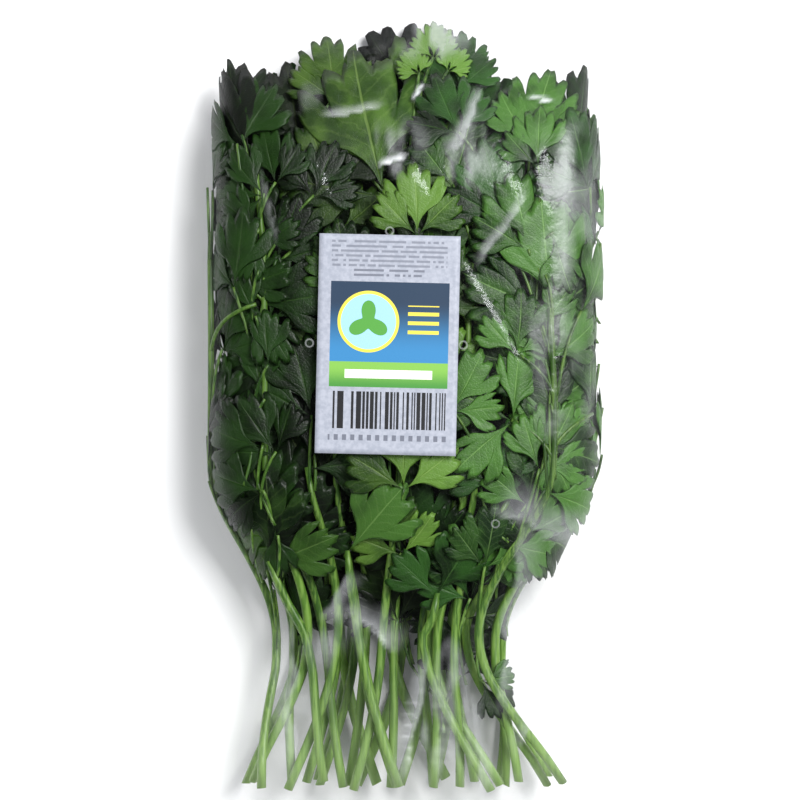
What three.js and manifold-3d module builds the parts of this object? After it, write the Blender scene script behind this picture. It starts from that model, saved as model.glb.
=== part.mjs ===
// A bunch of flat-leaf parsley lying in a clear film bag, with a paper label stuck on the bag.
// Millimetres. X runs across the bunch, Y from the cut stem ends to the leaf tips, Z up from the
// table. The origin is on the table, under the middle of the bag.
//
// The leafy stems lie in layers, one inside the other like the skins of an onion, and the bag is
// the outermost skin. Every cross-section is a flat oval: two straight runs and two round sides.
// A place in a layer is a distance round the oval from the middle of its top (arc), a distance
// along the bunch (y) and a height above the layer (lift).
import * as THREE from "three";
import { mergeVertices } from "three/addons/utils/BufferGeometryUtils.js";
import Module from "manifold-3d";

const wasm = await Module();
wasm.setup();

// Driving dimensions of the bag
const bagLength = 286;
const filmWall = 0.5;
const leafHalfWidth = 71;
const waistHalfWidth = 54;
const mouthHalfWidth = 63;
const leafHalfHeight = 21;
const stemHalfHeight = 15;
const sealHalfHeight = 0.9;
const crown = 0.12; // how far the top bulges past the oval, as a share of its height

// Where the bag changes along its length
const mouthY = -bagLength / 2;
const sealY = bagLength / 2;
const flareY = -94;
const waistY = -84;
const bellyY = -22;
const shoulderY = 64;
const closedY = 140;

// Driving dimensions of the stems and leaves
const skinGap = 1.8; // from the bag's outside to the nearest that a leaf's middle may come
const leafPitch = 2.9; // between layers of leaves above and below
const sidePitch = 4.6; // and at the bunch's two sides
const leafSway = 0.8; // how far a leaf strays from its layer
const sideSway = 0.15;
const stemSkinGap = 2.9;
const stemPitch = 3.7; // between layers of stems
const stemEndY = -133;
const stemRadius = 1.6;
const petioleRadius = 1.1;
const stalkRadius = 0.7;
const bladeThickness = 0.6;
const leafletLength = 31;
const notchRadius = 2;
const internode = 40;
const stalkLength = 28;
const stemTwist = [0.12, -0.1, 0.14, -0.05]; // each layer's slant, as a share of its half girth
const endSpread = 1.05;
const stemElbowRoom = 0.07; // between two stems of a layer at the waist
const ringHeights = [-114, -94, -80, -67, -54, -40, -22, 4, 30, 56, 80]; // of a stem's skin

// Label
const labelSize = { width: 48.5, length: 75.5, thickness: 0.4 };
const labelMiddle = { x: -6, y: 19 };
const labelTurn = (-1.3 * Math.PI) / 180;
const labelGap = 0.35;

const leafTones = {
  young: new THREE.MeshStandardMaterial({ color: 0x6f9a3f, roughness: 0.55 }),
  fresh: new THREE.MeshStandardMaterial({ color: 0x4b7a35, roughness: 0.55 }),
  deep: new THREE.MeshStandardMaterial({ color: 0x2f5423, roughness: 0.6 }),
};
const filmLook = new THREE.MeshStandardMaterial({
  color: 0xf2f6fa,
  roughness: 0.12,
  transparent: true,
  opacity: 0.16,
});
const paperLook = new THREE.MeshStandardMaterial({ color: 0xeeeff4, roughness: 0.7 });

// The leafy stems that show at the front. arc and top give the knot that bears the end
// leaflets, lean is that end's slant in degrees, size scales its leaflets, pairs counts its
// side branches and fan turns its end leaflets.
const trefoil = [0, -66, 66];
const frontStems = [
  { layer: 0, arc: -51, top: -57, lean: -10, size: 1.05, pairs: 0, fan: trefoil, tone: "fresh" },
  { layer: 0, arc: -20, top: -53, lean: 0, size: 1.25, pairs: 0, fan: [-39, 39], tone: "fresh" },
  { layer: 0, arc: 17, top: -68, lean: 0, size: 1.2, pairs: 0, fan: [30, -48], tone: "deep" },
  { layer: 0, arc: 50, top: 31, lean: -4, size: 1.3, pairs: 2, fan: trefoil, tone: "fresh" },
  { layer: 0, arc: -76, top: 58, lean: -4, size: 1.15, pairs: 2, fan: trefoil, tone: "deep" },
  { layer: 0, arc: 92, top: 70, lean: -4, size: 1.15, pairs: 2, fan: trefoil, tone: "fresh" },
  { layer: 1, arc: -7, top: 70, lean: -14, size: 1.75, pairs: 2, fan: trefoil, tone: "young" },
  { layer: 1, arc: 26, top: 62, lean: 10, size: 1.25, pairs: 1, fan: trefoil, tone: "fresh" },
  { layer: 1, arc: 37, top: -34, lean: 45, size: 1.25, pairs: 0, fan: [-8, 70], tone: "deep" },
  { layer: 1, arc: -52, top: 82, lean: -8, size: 1.25, pairs: 2, fan: trefoil, tone: "deep" },
  { layer: 1, arc: 62, top: 84, lean: -4, size: 1.1, pairs: 2, fan: trefoil, tone: "deep" },
  { layer: 1, arc: -34, top: -24, lean: -8, size: 1.15, pairs: 0, fan: trefoil, tone: "deep" },
];

// The rest, in rows: the first one's place round its layer as a share of the half girth, the
// step to the next, how many there are, and the heights of their tops, which take turns
const stemRows = [
  { layer: 0, from: 0.76, step: 0.2, count: 4, tops: [-20, 70], pairs: 2, tone: "fresh" },
  { layer: 1, from: 0.62, step: 0.2, count: 4, tops: [8, 87], pairs: 2, tone: "deep" },
  { layer: 2, from: -0.82, step: 0.33, count: 6, tops: [20, 92], pairs: 2, tone: "deep" },
  { layer: 2, from: -0.325, step: 0.66, count: 2, tops: [-42], pairs: 0, tone: "deep" },
  { layer: 3, from: -0.3, step: 0.3, count: 3, tops: [84, 98], pairs: 1, tone: "young" },
  { layer: 3, from: -0.15, step: 0.3, count: 2, tops: [-30], pairs: 0, tone: "deep" },
];

// Helpers

const radians = (degrees) => (degrees * Math.PI) / 180;
const mix = (from, to, share) => from + (to - from) * share;

function ease(start, end, at) {
  const t = Math.min(1, Math.max(0, (at - start) / (end - start)));
  return t * t * (3 - 2 * t);
}

function seeded(seed) {
  let state = seed >>> 0;
  return () => {
    state = (state + 0x6d2b79f5) >>> 0;
    let t = state;
    t = Math.imul(t ^ (t >>> 15), t | 1);
    t ^= t + Math.imul(t ^ (t >>> 7), t | 61);
    return ((t ^ (t >>> 14)) >>> 0) / 4294967296;
  };
}

// The oval and its layers

function closing(y) {
  const t = Math.min(1, Math.max(0, (y - shoulderY) / (closedY - shoulderY)));
  return 1 - Math.pow(t, 2.2);
}

function halfWidth(y) {
  const narrowed = mix(leafHalfWidth, waistHalfWidth, ease(bellyY, waistY, y));
  const flare = Math.max(0, (y - flareY) / (mouthY - flareY));
  return narrowed + (mouthHalfWidth - waistHalfWidth) * flare;
}

function halfHeight(y) {
  const open = mix(leafHalfHeight, stemHalfHeight, ease(bellyY, waistY, y));
  return Math.max(sealHalfHeight, open * closing(y));
}

// How deep a layer lies, with the spacing that its leaves keep
function layerDepth(layer, y, pitch) {
  const amongLeaves = skinGap + (leafSway + pitch * layer) * closing(y);
  const amongStems = stemSkinGap + stemPitch * layer;
  return mix(amongLeaves, amongStems, ease(bellyY, waistY, y));
}

// A layer's oval: half the length of its straight runs, the height and width of its round
// sides, and half the distance round it
function oval(layer, y) {
  const flat = halfWidth(y) - halfHeight(y);
  const high = Math.max(0.05, halfHeight(y) - layerDepth(layer, y, leafPitch));
  const wide = Math.max(0.05, halfHeight(y) - layerDepth(layer, y, sidePitch));
  const bend = (Math.PI * (high + wide)) / 2;
  return { flat, high, wide, bend, half: 2 * flat + bend };
}

// The bag's top bulges and its underside lies flat on the table
function settle(x, y, z) {
  const bulge = z > 0 ? 1 + crown * (1 - Math.pow(x / halfWidth(y), 2)) : 1;
  return [x, y, z * bulge + halfHeight(y)];
}

function place(layer, arc, y, lift) {
  const { flat, high, wide, bend, half } = oval(layer, y);
  const over = Math.abs(arc) > half;
  const side = arc < 0 === over ? 1 : -1;
  const run = over ? 2 * half - Math.abs(arc) : Math.abs(arc);
  if (run <= flat) return settle(side * run, y, high + lift);
  const angle = Math.min(Math.PI, (Math.PI * (run - flat)) / bend);
  const past = Math.max(0, run - flat - bend);
  const x = flat - past + (wide + lift) * Math.sin(angle);
  return settle(side * x, y, (high + lift) * Math.cos(angle));
}

// How far leaves may stray there, less where the layer bends round the side
function swayAt(layer, arc, y) {
  const { flat, bend } = oval(layer, y);
  const run = Math.abs(arc);
  const bent = Math.min(ease(flat - 12, flat, run), 1 - ease(flat + bend, flat + bend + 12, run));
  return mix(leafSway, sideSway, bent) * closing(y);
}

// Solids from points and faces

function solidFrom(points, faces) {
  const geometry = new THREE.BufferGeometry();
  geometry.setAttribute("position", new THREE.Float32BufferAttribute(points.flat(), 3));
  geometry.setIndex(faces.flat());
  const merged = mergeVertices(geometry, 1e-4);
  return new wasm.Manifold(
    new wasm.Mesh({
      numProp: 3,
      vertProperties: merged.attributes.position.array,
      triVerts: new Uint32Array(merged.index.array),
    }),
  );
}

// A skin over rings that each have the same number of points, closed at both ends
function ringSolid(rings) {
  const count = rings[0].length;
  const faces = [];
  for (let ring = 0; ring + 1 < rings.length; ring++) {
    for (let i = 0; i < count; i++) {
      const next = (i + 1) % count;
      const a = ring * count;
      const b = a + count;
      faces.push([a + i, a + next, b + next], [a + i, b + next, b + i]);
    }
  }
  const last = (rings.length - 1) * count;
  for (let i = 1; i + 1 < count; i++) {
    faces.push([0, i + 1, i], [last, last + i, last + i + 1]);
  }
  return solidFrom(rings.flat(), faces);
}

// A round stalk along a path of { arc, y, radius } in one layer
function stalkSolid(layer, path, sides) {
  const rings = path.map((at, i) => {
    const before = path[Math.max(0, i - 1)];
    const after = path[Math.min(path.length - 1, i + 1)];
    const heading = Math.atan2(after.arc - before.arc, after.y - before.y);
    return Array.from({ length: sides }, (_, k) => {
      const turn = (-2 * Math.PI * (k + 0.5)) / sides;
      const across = at.radius * Math.cos(turn);
      const arc = at.arc + across * Math.cos(heading);
      const y = at.y - across * Math.sin(heading);
      return place(layer, arc, y, at.radius * Math.sin(turn));
    });
  });
  return ringSolid(rings);
}

// One side of a leaflet's edge: degrees from its rib and distance from its foot. Teeth stand
// out between the cuts, and the deepest cut parts the middle lobe from the side lobe.
const frontEdge = [
  [7, 0.85],
  [13, 0.93],
  [19.5, 0.58],
  [27, 0.87],
  [36, 0.72],
  [38, 0.4],
];
const hiddenEdge = [
  [16, 0.66],
  [28, 0.88],
  [38, 0.45],
];
const ribPart = 0.38; // where the veins part, as a share of the leaflet's length
const narrowing = 0.66; // of a side leaflet's half that faces its neighbour

function leafletRays(leaflet) {
  const { flat } = oval(leaflet.layer, leaflet.y);
  const seen = leaflet.layer === 0 && Math.abs(leaflet.arc) < flat;
  const half = (side) => {
    const squeeze = leaflet.narrowSide === side ? narrowing : 1;
    return (seen ? frontEdge : hiddenEdge).map(([angle, reach]) => [side * angle * squeeze, reach]);
  };
  return [...half(-1).reverse(), [0, 1], ...half(1)];
}

// How far a leaflet's surface stands off its layer: it folds at the rib and tilts
function leafletLift(leaflet, angle, reach) {
  const across = Math.sin(radians(angle)) * reach * 1.6;
  const lift = leaflet.cup * Math.abs(across) + leaflet.roll * across + leaflet.pitch * reach;
  return Math.max(-1, Math.min(1, lift));
}

// The leaflets round one knot make one blade, cut almost to the knot between them
function fanSolid(leaflets) {
  const { layer, arc, y } = leaflets[0];
  const corners = [{ arc, y, lift: 0 }];
  const edge = [0];
  const top = [];
  const addCorner = (turn, far, lift) => {
    const at = { arc: arc + far * Math.sin(turn), y: y + far * Math.cos(turn) };
    at.lift = lift * swayAt(layer, at.arc, at.y);
    return corners.push(at) - 1;
  };
  const ordered = [...leaflets].sort((p, q) => p.heading - q.heading);
  ordered.forEach((leaflet, i) => {
    if (i > 0) {
      const notch = addCorner(mix(ordered[i - 1].heading, leaflet.heading, 0.5), notchRadius, 0);
      top.push([0, notch, edge.at(-1)], [0, notch + 1, notch]);
      edge.push(notch);
    }
    const rays = leafletRays(leaflet).map(([angle, reach]) =>
      addCorner(
        leaflet.heading + radians(angle),
        reach * leaflet.length,
        leafletLift(leaflet, angle, reach),
      ),
    );
    const rib = addCorner(leaflet.heading, ribPart * leaflet.length, leaflet.pitch * ribPart);
    top.push([0, rib, rays[0]], [0, rays.at(-1), rib]);
    for (let k = 0; k + 1 < rays.length; k++) top.push([rib, rays[k + 1], rays[k]]);
    edge.push(...rays);
  });
  const points = [1, -1].flatMap((side) =>
    corners.map((at) => place(layer, at.arc, at.y, at.lift + (side * bladeThickness) / 2)),
  );
  const under = corners.length;
  const faces = top.flatMap(([a, b, c]) => [
    [a, b, c],
    [a + under, c + under, b + under],
  ]);
  edge.forEach((a, k) => {
    const b = edge[(k + 1) % edge.length];
    faces.push([a, b, b + under], [a, b + under, a + under]);
  });
  return solidFrom(points, faces);
}

// Laying out the leafy stems. What is already there is kept as discs, layer by layer.

const stalkRoom = 0.6;
const leafRoom = 0.9;
const tipZoneY = 100; // past this the layers are squeezed together, so neighbours meet
const discStep = 3;
const leafletDiscs = [
  { along: 0.3, aside: 0, size: 0.15 },
  { along: 0.8, aside: 0, size: 0.21 },
  { along: 0.57, aside: -0.29, size: 0.24 },
  { along: 0.57, aside: 0.29, size: 0.24 },
];

function discsOfLeaflet(leaflet) {
  const { layer, owner, length, heading } = leaflet;
  return leafletDiscs.map(({ along, aside, size }) => {
    const squeeze = aside * leaflet.narrowSide > 0 ? narrowing : 1;
    const out = aside * squeeze;
    return {
      layer,
      owner,
      arc: leaflet.arc + length * (along * Math.sin(heading) + out * Math.cos(heading)),
      y: leaflet.y + length * (along * Math.cos(heading) - out * Math.sin(heading)),
      radius: length * size * (aside ? squeeze : 1),
      leaf: true,
    };
  });
}

function discsOfPath(path, layer, owner) {
  const discs = [];
  for (let i = 0; i + 1 < path.length; i++) {
    const [a, b] = [path[i], path[i + 1]];
    const steps = Math.max(1, Math.ceil(Math.hypot(b.arc - a.arc, b.y - a.y) / discStep));
    for (let k = 0; k < steps; k++) {
      const share = (k + 0.5) / steps;
      discs.push({
        layer,
        owner,
        arc: mix(a.arc, b.arc, share),
        y: mix(a.y, b.y, share),
        radius: mix(a.radius, b.radius, share),
        leaf: false,
      });
    }
  }
  return discs;
}

function meet(p, q, room) {
  if (Math.abs(p.layer - q.layer) > (p.y > tipZoneY && q.y > tipZoneY ? 1 : 0)) return false;
  const reach = p.radius + q.radius + room;
  if (Math.abs(p.y - q.y) > reach) return false;
  const around = Math.abs(p.arc - q.arc);
  const wrapped = Math.min(around, Math.abs(2 * oval(p.layer, p.y).half - around));
  return Math.hypot(wrapped, p.y - q.y) < reach;
}

// A leaf may touch its own stem's stalks, and stalks their own stem's other stalks
function isFree(discs, taken, room) {
  return discs.every((disc) =>
    taken.every((other) => {
      if (other.owner === disc.owner && !(other.leaf && disc.leaf)) return true;
      return !meet(disc, other, room);
    }),
  );
}

// The path of a stem from its cut end, through the waist, to the knot at its top: a smooth
// curve through four places round the layer
function stemPath(plan, waistShare, endY) {
  const topHalf = oval(plan.layer, plan.top).half;
  const lean = Math.max(-0.2, Math.min(0.2, Math.tan(radians(plan.lean)) * 0.6)) / topHalf;
  const below = Math.min(internode, (plan.top - waistY) / 2);
  const topShare = plan.arc / topHalf;
  const through = [
    { y: endY, share: waistShare * endSpread + stemTwist[plan.layer] },
    { y: waistY, share: waistShare },
    { y: plan.top - below, share: topShare - below * lean },
    { y: plan.top, share: topShare },
  ];
  const slopes = through.map((_, i) => {
    const [a, b] = [through[Math.max(0, i - 1)], through[Math.min(3, i + 1)]];
    return (b.share - a.share) / (b.y - a.y);
  });
  const heights = ringHeights.filter((y) => y > endY + 8 && y < plan.top - 6);
  const path = [endY, ...heights, plan.top].map((y) => {
    const i = y < waistY ? 0 : y < plan.top - below ? 1 : 2;
    const [a, b] = [through[i], through[i + 1]];
    const run = b.y - a.y;
    const t = (y - a.y) / run;
    const straight = mix(a.share, b.share, t);
    const start = slopes[i] * run - (b.share - a.share);
    const end = slopes[i + 1] * run - (b.share - a.share);
    const share = straight + t * (1 - t) * (start * (1 - t) - end * t);
    const radius = mix(petioleRadius, stemRadius, ease(bellyY, waistY, y));
    return { y, arc: share * oval(plan.layer, y).half, radius };
  });
  const tip = path.at(-1);
  tip.radius = stalkRadius + 0.1;
  tip.y += tip.radius;
  return path;
}

function pointAlong(path, y) {
  const above = Math.max(1, path.findIndex((at) => at.y >= y));
  const [a, b] = [path[above - 1], path[above]];
  const share = (y - a.y) / (b.y - a.y);
  return { arc: mix(a.arc, b.arc, share), y, radius: stalkRadius };
}

// The leaflets that find room round a knot, for the turn of the whole fan that holds most
const fanTurns = [0, 12, -12, 24, -24];
const leafletScales = [1, 0.84, 0.7];

function bestFan(foot, heading, lengths, taken, looks) {
  let best = { leaflets: [], score: 0 };
  for (const turn of fanTurns) {
    const leaflets = [];
    for (const { at, length, narrowSide } of lengths) {
      for (const scale of leafletScales) {
        const leaflet = {
          ...foot,
          heading: heading + radians(turn + at),
          length: length * scale,
          narrowSide,
          ...looks[leaflets.length],
        };
        if (!isFree(discsOfLeaflet(leaflet), taken, leafRoom)) continue;
        leaflets.push(leaflet);
        break;
      }
    }
    const score = leaflets.reduce((sum, { length }) => sum + length * length, 0);
    if (score > best.score * 1.05) best = { leaflets, score };
  }
  return best;
}

// Past the middle of the underside a share goes on from the other side
const wrapped = (share) => (share > 1 ? share - 2 : share);

function planStems() {
  const rest = stemRows.flatMap(({ layer, from, step, count, tops, pairs, tone }) =>
    Array.from({ length: count }, (_, i) => ({
      layer,
      arc: wrapped(from + step * i) * oval(layer, 0).half,
      top: tops[i % tops.length],
      lean: 6 * (i % 3) - 6,
      size: 1.15,
      pairs,
      fan: trefoil,
      tone: i % 3 === 2 ? "fresh" : tone,
    })),
  );
  return [...frontStems, ...rest];
}

function layOut() {
  const random = seeded(33);
  const taken = [];
  const plans = planStems();
  const looks = () =>
    trefoil.map(() => ({
      cup: random() * 1.6 - 0.5,
      roll: random() * 2 - 1,
      pitch: random() * 1.2 - 0.4,
    }));

  // Stems first. At the waist each stands below its top, moved over where two would touch.
  const built = plans.map((plan) => ({ plan, stalks: [], fans: [] }));
  for (let layer = 0; layer <= 3; layer++) {
    const ordered = built.filter(({ plan }) => plan.layer === layer);
    ordered.sort((p, q) => p.plan.arc - q.plan.arc);
    const shares = ordered.map(({ plan }) => plan.arc / oval(layer, 0).half);
    for (let pass = 0; pass < 60; pass++) {
      for (let i = 0; i < shares.length; i++) {
        const next = (i + 1) % shares.length;
        const gap = shares[next] - shares[i] + (next === 0 ? 2 : 0);
        const push = Math.max(0, stemElbowRoom - gap) / 2;
        shares[i] -= push;
        shares[next] += push;
      }
    }
    ordered.forEach((one, i) => {
      one.stem = stemPath(one.plan, shares[i], stemEndY - 4 * random());
    });
  }
  built.forEach(({ plan, stem }, owner) => taken.push(...discsOfPath(stem, plan.layer, owner)));

  // Then the leaflets at the tops
  built.forEach(({ plan, fans }, owner) => {
    const foot = { layer: plan.layer, owner, arc: plan.arc, y: plan.top };
    const length = leafletLength * plan.size;
    const lengths = plan.fan.map((at, i) => ({
      at,
      length: i === 0 ? length : length * 0.82,
      narrowSide: -Math.sign(at) * (plan.fan.length > 2 ? 1 : 0),
    }));
    const { leaflets } = bestFan(foot, radians(plan.lean), lengths, taken, looks());
    if (leaflets.length === 0) return;
    fans.push(leaflets);
    taken.push(...leaflets.flatMap(discsOfLeaflet));
  });

  // Last the side branches, each at the slant and length that leave most room for leaves
  for (const level of [1, 2]) {
    built.forEach(({ plan, stem, stalks, fans }, owner) => {
      if (plan.pairs < level) return;
      for (const side of [-1, 1]) {
        const nodeY = plan.top - internode * plan.size * (level - 0.12 + 0.15 * random());
        const look = looks();
        if (nodeY < bellyY - 12) continue;
        const node = pointAlong(stem, nodeY);
        let best = { score: 0 };
        for (const slant of [42, 58, 30]) {
          for (const stretch of [1, 0.7, 1.35]) {
            const heading = radians(plan.lean) + side * radians(slant);
            const outward = (run, turn) => ({
              arc: node.arc + run * Math.sin(heading + turn),
              y: node.y + run * Math.cos(heading + turn),
              radius: stalkRadius,
            });
            const run = stalkLength * stretch;
            const end = outward(run, 0);
            const path = [node, outward(run / 2, radians(-12) * side), end];
            if (!isFree(discsOfPath(path, plan.layer, owner), taken, stalkRoom)) continue;
            const foot = { layer: plan.layer, owner, arc: end.arc, y: end.y };
            const length = leafletLength * plan.size * 0.85;
            const lengths = trefoil.map((at) => ({
              at,
              length: at === 0 ? length : length * 0.78,
              narrowSide: -Math.sign(at),
            }));
            const fan = bestFan(foot, heading + radians(4) * side, lengths, taken, look);
            if (fan.score > best.score * 1.05) {
              path[2] = outward(run + stalkRadius, 0);
              best = { ...fan, path };
            }
          }
        }
        if (best.score === 0) continue;
        stalks.push(best.path);
        fans.push(best.leaflets);
        taken.push(...discsOfPath(best.path, plan.layer, owner));
        taken.push(...best.leaflets.flatMap(discsOfLeaflet));
      }
    });
  }
  return built;
}

// The pieces

function meshFrom(solid, name, material) {
  const { vertProperties, triVerts } = solid.getMesh();
  const geometry = new THREE.BufferGeometry();
  geometry.setAttribute("position", new THREE.BufferAttribute(new Float32Array(vertProperties), 3));
  geometry.setIndex(new THREE.BufferAttribute(new Uint32Array(triVerts), 1));
  geometry.computeVertexNormals();
  const mesh = new THREE.Mesh(geometry, material);
  mesh.name = name;
  return mesh;
}

function leafyStem({ plan, stem, stalks, fans }, number) {
  let solid = stalkSolid(plan.layer, stem, plan.layer < 2 ? 5 : 4);
  for (const path of stalks) {
    solid = solid.add(stalkSolid(plan.layer, path, 4));
  }
  for (const leaflets of fans) {
    solid = solid.add(fanSolid(leaflets));
  }
  const name = "leafy_stem_" + String(number).padStart(2, "0");
  return meshFrom(solid, name, leafTones[plan.tone]);
}

// The bag: its outside from the sealed end to the mouth, then its inside back again
function filmBag() {
  const roundSteps = 7;
  const flatSteps = 3;
  const ring = (y, depth) => {
    const radius = halfHeight(y) - depth;
    const flat = halfWidth(y) - halfHeight(y);
    const points = [];
    for (const side of [-1, 1]) {
      for (let i = 0; i <= roundSteps; i++) {
        const angle = (Math.PI * i) / roundSteps;
        const x = flat + radius * Math.sin(angle);
        points.push(settle(side * x, y, -side * radius * Math.cos(angle)));
      }
      for (let i = 1; i < flatSteps; i++) {
        points.push(settle(side * flat * (1 - (2 * i) / flatSteps), y, side * radius));
      }
    }
    return points;
  };
  const stations = [mouthY, flareY, -82, -70, -58, -46, -34, bellyY, shoulderY];
  stations.push(80, 94, 106, 116, 125, 131, 136);
  const outside = [...stations, closedY, sealY].reverse().map((y) => ring(y, 0));
  const inside = stations.map((y) => ring(y, filmWall));
  return meshFrom(ringSolid([...outside, ...inside]), "film_bag", filmLook);
}

function label() {
  const columns = 4;
  const rows = 4;
  const { width, length, thickness } = labelSize;
  const points = [];
  for (const gap of [labelGap + thickness, labelGap]) {
    for (let j = 0; j <= rows; j++) {
      for (let i = 0; i <= columns; i++) {
        const across = width * (i / columns - 0.5);
        const along = length * (j / rows - 0.5);
        const x = labelMiddle.x + across * Math.cos(labelTurn) - along * Math.sin(labelTurn);
        const y = labelMiddle.y + across * Math.sin(labelTurn) + along * Math.cos(labelTurn);
        points.push(settle(x, y, halfHeight(y) + gap));
      }
    }
  }
  const under = points.length / 2;
  const at = (i, j) => j * (columns + 1) + i;
  const faces = [];
  for (let j = 0; j < rows; j++) {
    for (let i = 0; i < columns; i++) {
      const [a, b, c, d] = [at(i, j), at(i + 1, j), at(i + 1, j + 1), at(i, j + 1)];
      faces.push([a, b, c], [a, c, d]);
      faces.push([a + under, c + under, b + under], [a + under, d + under, c + under]);
    }
  }
  const edge = [];
  for (let i = 0; i < columns; i++) edge.push(at(i, 0));
  for (let j = 0; j < rows; j++) edge.push(at(columns, j));
  for (let i = columns; i > 0; i--) edge.push(at(i, rows));
  for (let j = rows; j > 0; j--) edge.push(at(0, j));
  edge.forEach((a, k) => {
    const b = edge[(k + 1) % edge.length];
    faces.push([a, b + under, b], [a, a + under, b + under]);
  });
  return meshFrom(solidFrom(points, faces), "label", paperLook);
}

const bunch = new THREE.Group();
layOut().forEach((one, i) => bunch.add(leafyStem(one, i + 1)));
bunch.add(filmBag());
bunch.add(label());

export default bunch;
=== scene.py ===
import math

import bmesh
import bpy
import numpy as np
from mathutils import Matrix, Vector, noise


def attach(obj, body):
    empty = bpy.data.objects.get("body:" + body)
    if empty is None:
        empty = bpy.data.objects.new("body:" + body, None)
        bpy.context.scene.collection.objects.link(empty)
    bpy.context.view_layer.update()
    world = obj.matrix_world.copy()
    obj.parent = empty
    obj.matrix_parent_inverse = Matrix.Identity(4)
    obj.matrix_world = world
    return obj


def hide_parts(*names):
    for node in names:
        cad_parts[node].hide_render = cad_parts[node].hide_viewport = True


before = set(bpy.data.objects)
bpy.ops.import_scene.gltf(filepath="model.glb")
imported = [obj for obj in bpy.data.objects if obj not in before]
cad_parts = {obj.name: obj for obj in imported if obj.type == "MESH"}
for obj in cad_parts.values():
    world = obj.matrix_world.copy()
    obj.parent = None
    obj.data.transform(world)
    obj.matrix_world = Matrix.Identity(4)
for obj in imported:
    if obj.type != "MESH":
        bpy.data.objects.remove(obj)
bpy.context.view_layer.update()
mm = 0.001  # all the sizes below are in millimetres

# The bag's outline, and how the leafy stems lie in layers inside it
bag = {
    "leafHalfWidth": 71,
    "waistHalfWidth": 54,
    "mouthHalfWidth": 63,
    "leafHalfHeight": 21,
    "stemHalfHeight": 15,
    "sealHalfHeight": 0.9,
    "crown": 0.12,
    "mouthY": -143,
    "sealY": 143,
    "flareY": -94,
    "waistY": -84,
    "bellyY": -22,
    "shoulderY": 64,
    "closedY": 140,
}
layers = {
    "skinGap": 1.8,
    "leafPitch": 2.9,
    "sidePitch": 4.6,
    "leafSway": 0.8,
    "sideSway": 0.15,
    "stemSkinGap": 2.9,
    "stemPitch": 3.7,
}


def ease(start, end, at):
    t = np.clip((at - start) / (end - start), 0, 1)
    return t * t * (3 - 2 * t)


def mix(a, b, share):
    return a + (b - a) * share


def closing(y):
    t = np.clip((y - bag["shoulderY"]) / (bag["closedY"] - bag["shoulderY"]), 0, 1)
    return 1 - t**2.2


def halfWidth(y):
    narrowed = mix(bag["leafHalfWidth"], bag["waistHalfWidth"], ease(bag["bellyY"], bag["waistY"], y))
    flare = np.maximum(0, (y - bag["flareY"]) / (bag["mouthY"] - bag["flareY"]))
    return narrowed + (bag["mouthHalfWidth"] - bag["waistHalfWidth"]) * flare


def halfHeight(y):
    fullness = mix(bag["leafHalfHeight"], bag["stemHalfHeight"], ease(bag["bellyY"], bag["waistY"], y))
    return np.maximum(bag["sealHalfHeight"], fullness * closing(y))


def layerDepth(layer, y, pitch):
    amongLeaves = layers["skinGap"] + (layers["leafSway"] + pitch * layer) * closing(y)
    amongStems = layers["stemSkinGap"] + layers["stemPitch"] * layer
    return mix(amongLeaves, amongStems, ease(bag["bellyY"], bag["waistY"], y))


def oval(layer, y):
    flat = halfWidth(y) - halfHeight(y)
    high = np.maximum(0.05, halfHeight(y) - layerDepth(layer, y, layers["leafPitch"]))
    wide = np.maximum(0.05, halfHeight(y) - layerDepth(layer, y, layers["sidePitch"]))
    bend = math.pi * (high + wide) / 2
    return flat, high, wide, bend, 2 * flat + bend


def halfGirth(layer, y):
    return float(oval(layer, y)[4])


def settle(x, y, z):
    bulge = np.where(z > 0, 1 + bag["crown"] * (1 - (x / halfWidth(y)) ** 2), 1)
    return np.stack(np.broadcast_arrays(x, y, z * bulge + halfHeight(y)), axis=-1)


# From a place in a layer (distance round it, along the bunch, height above it) to a point
def place(layer, arc, y, lift):
    flat, high, wide, bend, half = oval(layer, y)
    over = np.abs(arc) > half
    side = np.where((arc < 0) == over, 1, -1)
    run = np.where(over, 2 * half - np.abs(arc), np.abs(arc))
    angle = np.clip(math.pi * (run - flat) / bend, 0, math.pi)
    past = np.maximum(0, run - flat - bend)
    x = np.where(run <= flat, run, flat - past + (wide + lift) * np.sin(angle))
    return settle(side * x, y, (high + lift) * np.cos(angle))


# How far across something at x, y stands once the stems are drawn together at the waist
def drawnTo(x, y):
    share = ease(-26, -84, y) - ease(-84, bag["mouthY"] - 4, y)
    return x - share * (stems["drawnIn"] * x + stems["drawnLeft"])


# 0 on the flat of a layer and 1 on the bend at its side
def bendAt(layer, arc, y):
    flat, _, _, bend, _ = oval(layer, y)
    run = np.abs(arc)
    return np.minimum(ease(flat - 12, flat, run), 1 - ease(flat + bend, flat + bend + 12, run))


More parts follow.
